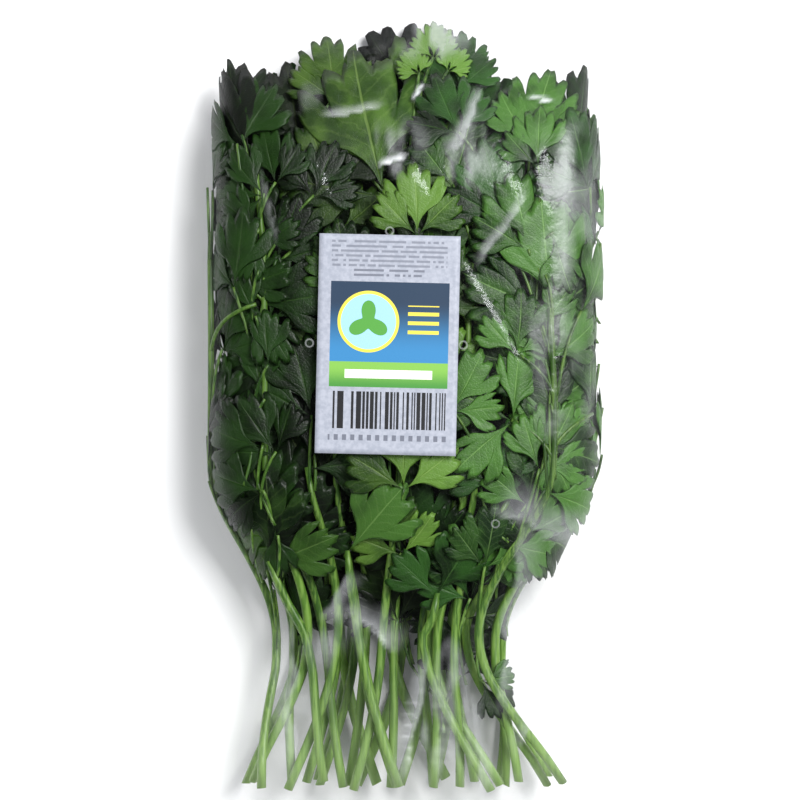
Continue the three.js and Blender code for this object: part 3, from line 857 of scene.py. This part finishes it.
def leafletSheet(leaflet, draw):
    layer, length = leaflet["layer"], leaflet["length"]
    flat = float(oval(layer, leaflet["y"])[0])
    seen = abs(leaflet["arc"]) < flat + 16 and layer < 1.8
    edge = leafShape["frontEdge" if seen else "hiddenEdge"]
    rings = np.array(leafShape["rings" if seen else "hiddenRings"])[:, None]
    degrees, reach = [], []
    uneven, evenFrom = leafShape["uneven"], leafShape["evenFrom"]
    for side in (-1, 1):
        squeeze = stems["narrowing"] if leaflet["narrowSide"] == side else 1
        half = [
            (side * angle * squeeze, far * (1 + uneven * (draw() - 0.5) * (angle < evenFrom)))
            for angle, far in edge
        ]
        half = half[:0:-1] if side < 0 else half
        degrees += [angle for angle, _ in half]
        reach += [far for _, far in half]
    degrees, reach = np.array(degrees)[None, :], np.array(reach)[None, :]
    share = degrees / leafShape["halfAngle"]
    far = rings * reach
    across = np.sin(np.radians(degrees)) * far * leafShape["acrossScale"]
    lift = leaflet["cup"] * np.abs(across) + leaflet["roll"] * across + leaflet["pitch"] * far
    spread = mix(leafShape["baseWidth"], 1, np.clip(far / leafShape["wedge"], 0, 1) ** 1.5)
    turn = leaflet["heading"] + np.radians(degrees * spread)
    turn = turn + (draw() - 0.5) * leafShape["twist"] * rings**2
    arc = leaflet["arc"] + far * length * np.sin(turn)
    y = leaflet["y"] + far * length * np.cos(turn)
    phase = draw() * 6
    offSideRib = (np.abs(degrees) - leafShape["sideRibAt"]) / leafShape["sideRibWidth"]
    groove = np.exp(-((degrees / leafShape["ribWidth"]) ** 2)) * (1 - 0.7 * rings)
    groove = groove + 0.5 * np.exp(-(offSideRib**2)) * ease(0.3, 0.6, rings)
    wave = np.sin(phase + share * 5 + rings * 3) * rings**2
    edgeCurl = ease(0.8, 1.0, rings) * (draw() - 0.7) * 0.5
    bent = bendAt(layer, arc, y)
    sway = mix(layers["leafSway"], layers["sideSway"], bent) * closing(y)
    lift = np.clip(lift, -1, 1) * sway * leaflet.get("sway", 1)
    relief = leafShape["wave"] * wave - leafShape["groove"] * groove + edgeCurl
    lift = lift + relief * closing(y) - bent * leafShape["sideShift"] * draw()
    # the upper skin runs out to the edge and the lower one back to the foot
    toSide = np.minimum(degrees - degrees[0, 0], degrees[0, -1] - degrees) / 2.5
    toEnd = 7 * np.minimum(rings - rings[0], 1 - rings)
    thick = leafShape["thickness"] / 2 * np.clip(np.minimum(toSide, toEnd), 0, 1)
    upper = place(layer, arc, y, lift + thick)
    lower = place(layer, arc, y, lift - thick)[-2::-1]
    points = np.vstack([upper, lower])
    footX = float(place(layer, leaflet["arc"], leaflet["y"], 0)[0])
    points[..., 0] += float(drawnTo(footX, leaflet["y"])) - footX
    return points, share, np.vstack([far, far[-2::-1]])


# A round stem or stalk along (arc, y, radius), with blunt ends
def stalkTube(layer, path, sides, ribs):
    path = np.array(path)
    layer = np.broadcast_to(layer, len(path))
    layer = np.concatenate([layer[:1], layer, layer[-1:]])[:, None]
    before, after = np.roll(path, 1, axis=0), np.roll(path, -1, axis=0)
    before[0], after[-1] = path[0], path[-1]
    heading = np.arctan2(after[:, 0] - before[:, 0], after[:, 1] - before[:, 1])
    radius = path[:, 2].copy()
    path = np.vstack([path[:1], path, path[-1:]])
    heading = np.concatenate([heading[:1], heading, heading[-1:]])
    radius = np.concatenate([[0], radius, [0]])
    turn = np.linspace(0, 2 * math.pi, sides + 1)
    turn[-1] = 0
    swell = radius[:, None] * (1 + ribs * np.cos(5 * turn)[None, :])
    across = swell * np.cos(turn)
    arc = path[:, 0:1] + across * np.cos(heading)[:, None]
    y = path[:, 1:2] - across * np.sin(heading)[:, None]
    points = place(layer, arc, y, swell * np.sin(turn))
    middleX = place(layer[:, 0], path[:, 0], path[:, 1], 0)[:, 0]
    points[..., 0] += (drawnTo(middleX, path[:, 1]) - middleX)[:, None]
    return points, np.linspace(0, 1, sides + 1)[None, :], path[:, 1:2] * 0.01


# A curve through three points
def smoothPath(path, steps=8):
    a, b, c = (np.array(at) for at in path)
    t = np.linspace(0, 1, steps + 1)[:, None]
    return (1 - t) * (1 - 2 * t) * a + 4 * t * (1 - t) * b + t * (2 * t - 1) * c


def makeLeafyStem(one, number):
    plan = one["plan"]
    draw = seeded(900 + number)
    maker = Maker()
    for leaflets in one["fans"]:
        for leaflet in leaflets:
            # a random tone, less a painted shade for how deep the leaflet's layer lies
            shade = draw() - 0.5 * leafShape["innerShade"] * leaflet["layer"]
            maker.closed(*leafletSheet(leaflet, draw), shade)
    heights = np.arange(one["endY"] + 9, plan["top"] - 6, 3.5)
    stem = stemPath(plan, one["curve"], one["endY"], heights)
    maker.closed(*stalkTube(plan["layer"], stem, 12, 0.05), draw(), slot=1)
    for path in one["stalks"]:
        maker.closed(*stalkTube(plan["layer"], smoothPath(path), 8, 0.04), draw(), slot=1)
    for leaflets, (layer, _, startY, startArc) in one["sprigs"]:
        foot = leaflets[0]
        bendBy = 3 * (draw() - 0.5)
        middle = (mix(startArc, foot["arc"], 0.42) + bendBy, mix(startY, foot["y"], 0.58), 0.55)
        path = smoothPath([(startArc, startY, 0.6), middle, (foot["arc"], foot["y"] + 0.6, 0.5)])
        depths = mix(layer, foot["layer"], np.linspace(0, 1, len(path)) ** 0.8)
        # the sprig stalks' random tone is lowered as painted shade among the leaves
        maker.closed(*stalkTube(depths, path, 6, 0), draw() - 0.5, slot=1)
        for leaflet in leaflets:
            # a random tone, less a painted shade for how deep the layer lies, plus how pale
            shade = draw() - leafShape["innerShade"] * max(0, leaflet["layer"]) + leaflet.get("pale", 0)
            maker.closed(*leafletSheet(leaflet, draw), shade)
    name = "leafy_stem_%02d" % number
    materials = [leafMaterials[plan["tone"]], stemMaterial]
    return maker.finish("dressed_" + name, materials, name)


leafyPieces = [makeLeafyStem(one, number) for number, one in enumerate(built, 1)]
triangles = sum(len(face.vertices) - 2 for piece in leafyPieces for face in piece.data.polygons)
print("made the leafy stems with", triangles, "triangles")

# The bag's film. Its creases lie inside the bag's outline.
film = {
    "frontColumns": 90,
    "backColumns": 36,
    "roundColumns": 12,
    "rowStep": 1.3,
    "thickness": 0.07,
    "slack": 0.45,
    "gather": 0.5,
    "gatherTopY": -88,
    "ripple": 0.7,
    "deepest": 0.95,
    "tint": (0.9, 0.92, 0.95, 1),
    "clear": 0.016,  # how much of the surroundings the clear film mirrors
    "rim": 0.03,
    # painted sheen, growing towards the bunch's right
    "rightPaintedSheen": 0.02,
    # milkiness with painted sheen near the mouth
    "mouthMilkAndSheen": 0.025,
    # painted glints: white rings round the air holes
    "holeRimGlint": 0.18,
    # milky patches with painted sheen: x, y, half width, half height, turn, strength
    "patches": [
        (-6, 88, 14, 12, 20, 0.2),
        (25, 90, 12, 20, 10, 0.2),
        (-24, 106, 18, 7, 5, 0.14),
        (12, 128, 13, 10, 0, 0.3),
        (60, 84, 9, 32, 0, 0.14),
        (52, 30, 12, 38, 5, 0.1),
        (-16, -80, 15, 10, 25, 0.2),
        (-33, -100, 9, 30, -8, 0.16),
        (12, -114, 14, 30, 4, 0.2),
    ],
    # milky creases and painted glints, sharp on one side and soft on the other: middle x, y, half
    # length, width to the soft side, heading, strength
    "creasesAndGlints": [
        (47, -44, 21, 15, -33, 0.24),
        (36, -74, 42, -13, 83, 0.2),
        (-12, -79, 15, 14, -38, 0.24),
        (-24, -68, 12, -10, 62, 0.2),
        (-40, -104, 34, 10, 92, 0.2),
        (4, -112, 28, 7, 80, 0.24),
        (24, -120, 22, -6, 100, 0.2),
        (47, -106, 24, 7, 70, 0.14),
        (-4, 82, 6, 3, 15, 0.75),
        (5, 107, 4, 2.2, 60, 0.7),
        (47, 104, 5, 2.4, -20, 0.7),
        (22, 96, 16, 5, 70, 0.34),
        (-18, 100, 13, 4, 10, 0.3),
        (57, 62, 30, 6, 88, 0.2),
        (60, 8, 24, -5, 92, 0.2),
        (34, 58, 18, 4, 55, 0.2),
        (-46, 66, 16, 3, 100, 0.1),
    ],
    # punched air holes
    "holes": [(-5.3, 58.1), (-32.9, 19.6), (20, 18.9), (41.7, -40.6), (31.2, -42.7), (47.9, -44.1)],
    "holeRadius": 1.3,
    # folds seen from the front: from x, y to x, y, width, depth
    "folds": [
        (-42, 118, -22, 66, 2.2, 0.7),
        (-8, 108, 10, 70, 1.8, 0.8),
        (26, 112, 40, 74, 2.4, 0.7),
        (48, 96, 58, 30, 2.6, 0.7),
        (30, -35, 59, -54, 1.6, 0.8),
        (-24, -70, -2, -84, 1.8, 0.8),
        (-50, 20, -58, -30, 2.6, 0.6),
        (20, 52, 44, 10, 2.0, 0.6),
        (-40, -72, -40, -132, 1.6, 0.7),
        (30, -38, 37, -116, 1.6, 0.7),
        (8, -84, 3, -138, 1.6, 0.6),
        (62, 60, 62, -20, 2.0, 0.6),
    ],
}


def foldDepth(x, y, fold):
    ax, ay, bx, by, width, depth = fold
    run = math.hypot(bx - ax, by - ay)
    t = np.clip(((x - ax) * (bx - ax) + (y - ay) * (by - ay)) / run**2, 0, 1)
    off = np.hypot(x - ax - t * (bx - ax), y - ay - t * (by - ay))
    return depth * np.exp(-((off / width) ** 2)) * np.sin(math.pi * np.clip(t, 0.02, 0.98)) ** 0.5


def noiseField(*place):
    spots = np.stack(np.broadcast_arrays(*place), axis=-1)
    return np.array([[noise.noise(spot) for spot in row] for row in spots])


def makeFilmPoints():
    sealRows = [bag["closedY"], 141, 142, 142.9, bag["sealY"]]
    ys = np.concatenate([np.arange(bag["mouthY"], bag["closedY"], film["rowStep"]), sealRows])
    flatRun = np.linspace(-1, 1, film["frontColumns"])
    backRun = np.linspace(1, -1, film["backColumns"])
    bendRun = np.linspace(0, math.pi, film["roundColumns"] + 2)[1:-1]
    a = np.concatenate([flatRun, np.ones(len(bendRun)), backRun, -np.ones(len(bendRun)), [-1]])
    sx = np.concatenate([flatRun * 0, np.sin(bendRun), backRun * 0, -np.sin(bendRun), [0]])
    cz = np.concatenate([flatRun * 0 + 1, np.cos(bendRun), backRun * 0 - 1, -np.cos(bendRun), [1]])
    y = ys[:, None]
    height = halfHeight(y)
    flat = halfWidth(y) - height
    x0 = flat * a + height * sx
    coarse, fine = noiseField(x0 / 19, y / 26, cz * 2), noiseField(x0 / 5.5, y / 14, 7 + cz)
    depth = film["slack"] * (0.5 + 0.6 * coarse + 0.35 * fine)
    top = np.broadcast_to(np.maximum(0, cz), depth.shape)
    for fold in film["folds"]:
        depth = depth + foldDepth(x0, y, fold) * top
    # gathers run up from the mouth, and a patch of cross ripples lies near the middle
    gather = 0.5 + 0.5 * np.sin(x0 / 2.1 + 2 * np.sin(y / 17))
    depth = depth + film["gather"] * gather * (1 - ease(bag["mouthY"], film["gatherTopY"], y))
    ripple = 0.5 + 0.5 * np.cos(2 * math.pi * (y + 0.1 * x0) / 4)
    patch = np.exp(-(((x0 - 5) / 10) ** 2)) * (ease(-131, -124, y) - ease(-104, -98, y)) * top
    depth = depth + film["ripple"] * ripple * patch
    depth = np.clip(depth, 0, film["deepest"])
    shut = ease(bag["closedY"] - 6, bag["closedY"], y)
    radius = np.where(shut > 0, mix(height - depth, 0.25, shut), height - depth)
    radius = radius * (y < 142.95)
    z = radius * cz
    x = flat * a + mix(radius, height, shut) * sx
    bulge = np.where(z > 0, 1 + bag["crown"] * (1 - (x0 / halfWidth(y)) ** 2), 1)
    points = np.stack(np.broadcast_arrays(x, y, z * bulge + height), axis=-1)
    return points, filmMilkAndSheen(points[..., 0], points[..., 1], np.broadcast_to(cz > 0.2, depth.shape))


# How milky the film is at each corner, with its painted sheen and glints, from its patches and creases
def filmMilkAndSheen(x, y, onFront):
    clouds = noiseField(x / 15, y / 15, 3.5) + 0.5 * noiseField(x / 5, y / 8, 9.5)
    streaks = noiseField(x / 3.5, y / 13, 17.5)
    # painted sheen towards the right, and milkiness with painted sheen at the mouth
    milkAndSheen = film["rightPaintedSheen"] * ease(-20, 75, x) + film["mouthMilkAndSheen"] * (1 - ease(-130, -70, y))
    milkAndSheen = milkAndSheen * ease(-0.4, 0.4, clouds)

    def laidOn(middleX, middleY, turn, wide, high):
        turn = math.radians(turn)
        u = (x - middleX) * math.cos(turn) + (y - middleY) * math.sin(turn)
        v = (y - middleY) * math.cos(turn) - (x - middleX) * math.sin(turn)
        return u / wide, v / high

    for middleX, middleY, wide, high, turn, strength in film["patches"]:
        far = np.hypot(*laidOn(middleX, middleY, turn, wide, high)) + 0.7 * clouds
        milkAndSheen = np.maximum(milkAndSheen, strength * (1 - ease(0.25, 1.1, far)) * ease(-0.5, 0.4, streaks))
    for middleX, middleY, reach, width, turn, strength in film["creasesAndGlints"]:
        u, v = laidOn(middleX, middleY, turn, reach, width)
        wavy = v + 0.35 * clouds
        side = np.clip(ease(-0.07, 0.07, wavy) - ease(0.07, 1, wavy), 0, 1)
        milkAndSheen = np.maximum(milkAndSheen, strength * (1 - ease(0.4, 1, np.abs(u))) * side)
    return milkAndSheen * onFront


# Where each corner lies from the nearest air hole
def fromHole(points):
    x, y = points[..., 0, None], points[..., 1, None]
    holes = np.array(film["holes"])
    nearest = np.argmin(np.hypot(x - holes[:, 0], y - holes[:, 1]), axis=-1)
    return points[..., 0] - holes[nearest, 0], points[..., 1] - holes[nearest, 1]


def makeFilmMaterial():
    material, tree, shader, place = newMaterial("clearFilm", Base_Color=film["tint"])
    height = addNode(tree, "ShaderNodeSeparateXYZ", {0: place}).outputs[2]
    fine = noiseAt(tree, place, 260, 2)
    # the milkiness, with its painted sheen and glints, makes the film white and less metallic
    milkAndSheen = times(tree, attribute(tree, "across"), maths(tree, "MULTIPLY_ADD", fine, 0.8, 0.6))
    # the melted rims of the air holes in the front, whitened as painted glints
    holeOffset = {0: attribute(tree, "along"), 1: attribute(tree, "shade")}
    offset = addNode(tree, "ShaderNodeCombineXYZ", holeOffset).outputs[0]
    far = addNode(tree, "ShaderNodeVectorMath", {0: offset}, operation="LENGTH").outputs["Value"]
    offRim = maths(tree, "ABSOLUTE", maths(tree, "SUBTRACT", far, film["holeRadius"]))
    rimGlint = times(tree, without(tree, softStep(tree, offRim, 0.1, 0.45)), film["holeRimGlint"])
    onTop = maths(tree, "GREATER_THAN", height, 0.016)
    milkAndSheen = maths(tree, "MAXIMUM", milkAndSheen, times(tree, rimGlint, onTop))
    facing = addNode(tree, "ShaderNodeLayerWeight", {"Blend": 0.5}).outputs["Facing"]
    rim = times(tree, maths(tree, "POWER", facing, 4), film["rim"])
    clear = maths(tree, "ADD", rim, film["clear"])
    outer = addNode(tree, "ShaderNodeNewGeometry").outputs["Backfacing"]
    seen = maths(tree, "ADD", clear, milkAndSheen, clamp=True)
    alpha = times(tree, seen, without(tree, outer))
    milkAndSheenShare = maths(tree, "DIVIDE", milkAndSheen, maths(tree, "ADD", milkAndSheen, 0.05))
    rough = maths(tree, "MULTIPLY_ADD", milkAndSheenShare, 0.35, 0.12)
    feed(tree, shader, Alpha=alpha, Metallic=without(tree, milkAndSheenShare), Roughness=rough)
    addBump(tree, shader, fine, 0.5, 0.6 * mm)
    return material


filmMaker = Maker()
filmPoints, milkAndSheenThere = makeFilmPoints()
filmMaker.closed(filmPoints, milkAndSheenThere, *fromHole(filmPoints))
filmPiece = filmMaker.finish("film_sleeve", [makeFilmMaterial()], "film_bag")
thicken(filmPiece, film["thickness"], -1)
print("made the film")

# The paper label, with generic print
label = {
    "width": 48.5,
    "length": 75.5,
    "middle": (-6, 19),
    "turn": -1.3,
    "gap": 0.42,
    "thickness": 0.16,
    "columns": 28,
    "rows": 40,
    "inks": {
        "paperDark": 0x9A9FAC,
        "paperLight": 0xABAFBB,
        "print": 0x6B6F7C,
        "skyDark": 0x1C3650,
        "skyLight": 0x2F7FB5,
        "badge": 0x9CCBE8,
        "leaf": 0x4F9A3A,
        "sun": 0xE8D64A,
        "greenDark": 0x3F8A35,
        "greenLight": 0x7DB648,
        "paleBar": 0xEDF2E4,
        "bars": 0x17181C,
    },
    # how many would fit along the whole label
    "printRows": 46,
    "words": 52,
    "stripes": 24,
    "barSteps": 112,
    "footDashes": 17,
    "badgeMiddle": (0.36, 0.603),
    "ringRadius": 10.6,
    "badgeRadius": 9.5,
    # from and to across the label, then from and to up it, as shares of its size
    "areas": {
        "fullRows": (0.09, 0.91, 0.848, 0.979),
        "shortRows": (0.25, 0.75, 0.805, 0.848),
        "panel": (0.09, 0.93, 0.42, 0.785),
        "stripes": (0.64, 0.86, 0.53, 0.68),
        "greenBand": (0.09, 0.93, 0.305, 0.42),
        "paleBar": (0.2, 0.82, 0.345, 0.385),
        "bars": (0.12, 0.92, 0.115, 0.285),
        "footing": (0.09, 0.93, 0.062, 0.088),
    },
}


def makeLabelMaterial():
    material, tree, shader, place = newMaterial("labelPaper", Roughness=0.5)
    u = attribute(tree, "across")
    v = attribute(tree, "along")
    grain = noiseAt(tree, place, 700, 3)
    inks = {name: colour(value) for name, value in label["inks"].items()}
    paper = blend(tree, softStep(tree, grain, 0.3, 0.7), inks["paperDark"], inks["paperLight"])

    def area(name):
        left, right, low, high = label["areas"][name]
        return times(tree, between(tree, u, left, right), between(tree, v, low, high))

    # with the label cut into count steps, the part of each from low to high
    def dashed(coordinate, count, low, high):
        return between(tree, maths(tree, "FRACT", times(tree, coordinate, label[count])), low, high)

    def stepOf(coordinate, count):
        return maths(tree, "FLOOR", times(tree, coordinate, label[count]))

    # rows of short grey dashes in place of small print
    word = whiteNoise(tree, stepOf(u, "words"), stepOf(v, "printRows"))
    dashes = times(tree, maths(tree, "LESS_THAN", word, 0.84), dashed(v, "printRows", 0.26, 0.74))
    small = times(tree, dashes, area("fullRows"))
    lower = times(tree, dashes, area("shortRows"))
    inked = times(tree, maths(tree, "MULTIPLY_ADD", lower, 1.3, small), 0.7)
    # blue panel with a ringed badge that holds a three-lobed leaf, and stripes beside it
    sky = blend(tree, softStep(tree, v, 0.46, 0.7), inks["skyLight"], inks["skyDark"])
    du = times(tree, maths(tree, "SUBTRACT", u, label["badgeMiddle"][0]), label["width"])
    dv = times(tree, maths(tree, "SUBTRACT", v, label["badgeMiddle"][1]), label["length"])
    far = maths(tree, "SQRT", maths(tree, "MULTIPLY_ADD", du, du, times(tree, dv, dv)))
    bearing = maths(tree, "ARCTAN2", du, dv)
    lobes = maths(tree, "MULTIPLY_ADD", maths(tree, "COSINE", times(tree, bearing, 3)), 2.4, 4.9)
    # green band with a plain pale bar, and below it bars of seeded widths over short dashes
    green = blend(tree, softStep(tree, v, 0.3, 0.4), inks["greenDark"], inks["greenLight"])
    bar = maths(tree, "LESS_THAN", whiteNoise(tree, stepOf(u, "barSteps"), 3), 0.52)
    prints = [
        (inked, inks["print"]),
        (area("panel"), sky),
        (maths(tree, "LESS_THAN", far, label["ringRadius"]), inks["sun"]),
        (maths(tree, "LESS_THAN", far, label["badgeRadius"]), inks["badge"]),
        (maths(tree, "LESS_THAN", far, lobes), inks["leaf"]),
        (times(tree, area("stripes"), dashed(v, "stripes", 0.2, 0.6)), inks["sun"]),
        (area("greenBand"), green),
        (area("paleBar"), inks["paleBar"]),
        (times(tree, area("bars"), bar), inks["bars"]),
        (times(tree, area("footing"), dashed(u, "footDashes", 0.25, 0.75)), inks["print"]),
    ]
    sheet = paper
    for mask, ink in prints:
        sheet = blend(tree, mask, sheet, ink)
    feed(tree, shader, Base_Color=sheet)
    addBump(tree, shader, grain, 0.15, 0.1 * mm)
    return material


def makeLabel():
    u = np.linspace(0, 1, label["columns"] + 1)[None, :]
    v = np.linspace(0, 1, label["rows"] + 1)[:, None]
    across = label["width"] * (u - 0.5)
    along = label["length"] * (v - 0.5)
    turn = math.radians(label["turn"])
    x = label["middle"][0] + across * math.cos(turn) - along * math.sin(turn)
    y = label["middle"][1] + across * math.sin(turn) + along * math.cos(turn)
    curl = 0.18 * (np.abs(2 * u - 1) ** 6 + np.abs(2 * v - 1) ** 8)
    points = settle(x, y, halfHeight(y) + label["gap"] + curl)
    maker = Maker()
    maker.sheet(points, u, v, 0)
    piece = maker.finish("paper_label", [makeLabelMaterial()], "label")
    thicken(piece, label["thickness"], 1)


makeLabel()
print("made the label")

# Floor, light and camera
studio = {
    "pixel": 0.35,  # millimetres of the bunch to a pixel
    "middleX": -1.75,
    "middleY": 0,
    "focusZ": 24,
    "cameraHeight": 1150,
    "keyPower": 43,
    "fillPower": 8,
    "skyStrength": 0.5,
    "mirroredSky": 0.05,  # the film and the leaves' gloss see a dim room round the lamps
    "keySize": 0.8,
    "keyPlace": (0.8, 0.7, 1.5),
    "fillSize": 1.4,
    "fillPlace": (-1.2, -0.5, 1.0),
    "floor": (0.93, 0.93, 0.935, 1),
    "sky": (0.95, 0.97, 1.0, 1),
    "sensor": 36,
    "pictureWidth": 800,
}


def makeLight(name, power, size, location, mirrored, target=(0, 0, 0.02)):
    lamp = bpy.data.lights.new(name, "AREA")
    lamp.energy = power
    lamp.size = size
    holder = bpy.data.objects.new(name, lamp)
    holder.location = location
    holder.visible_glossy = mirrored
    holder.rotation_euler = (Vector(target) - Vector(location)).to_track_quat("-Z", "Y").to_euler()
    bpy.context.scene.collection.objects.link(holder)


def makeStudio():
    floorMesh = bpy.data.meshes.new("floor")
    bm = bmesh.new()
    bmesh.ops.create_grid(bm, x_segments=8, y_segments=8, size=2)
    bmesh.ops.translate(bm, verts=bm.verts, vec=(0, 0, -0.0004))
    bm.to_mesh(floorMesh)
    bm.free()
    floor = bpy.data.objects.new("floor", floorMesh)
    bpy.context.scene.collection.objects.link(floor)
    floorMesh.materials.append(newMaterial("paleFloor", Roughness=0.9, Base_Color=studio["floor"])[0])
    world = bpy.data.worlds.new("studio")
    world.use_nodes = True
    background = world.node_tree.nodes["Background"]
    background.inputs["Color"].default_value = studio["sky"]
    glossy = addNode(world.node_tree, "ShaderNodeLightPath").outputs["Is Glossy Ray"]
    sky = studio["skyStrength"]
    dimmed = maths(world.node_tree, "MULTIPLY_ADD", glossy, studio["mirroredSky"] - sky, sky)
    world.node_tree.links.new(dimmed, background.inputs["Strength"])
    bpy.context.scene.world = world
    makeLight("key", studio["keyPower"], studio["keySize"], studio["keyPlace"], True)
    makeLight("fill", studio["fillPower"], studio["fillSize"], studio["fillPlace"], False)
    camera = bpy.data.cameras.new("camera")
    distance = studio["cameraHeight"] - studio["focusZ"]
    camera.sensor_width = studio["sensor"]
    camera.lens = studio["sensor"] * distance / (studio["pictureWidth"] * studio["pixel"])
    holder = bpy.data.objects.new("camera", camera)
    holder.location = (studio["middleX"] * mm, studio["middleY"] * mm, studio["cameraHeight"] * mm)
    bpy.context.scene.collection.objects.link(holder)
    bpy.context.scene.camera = holder
    bpy.context.scene.view_settings.view_transform = "Standard"


makeStudio()
print("set the studio")
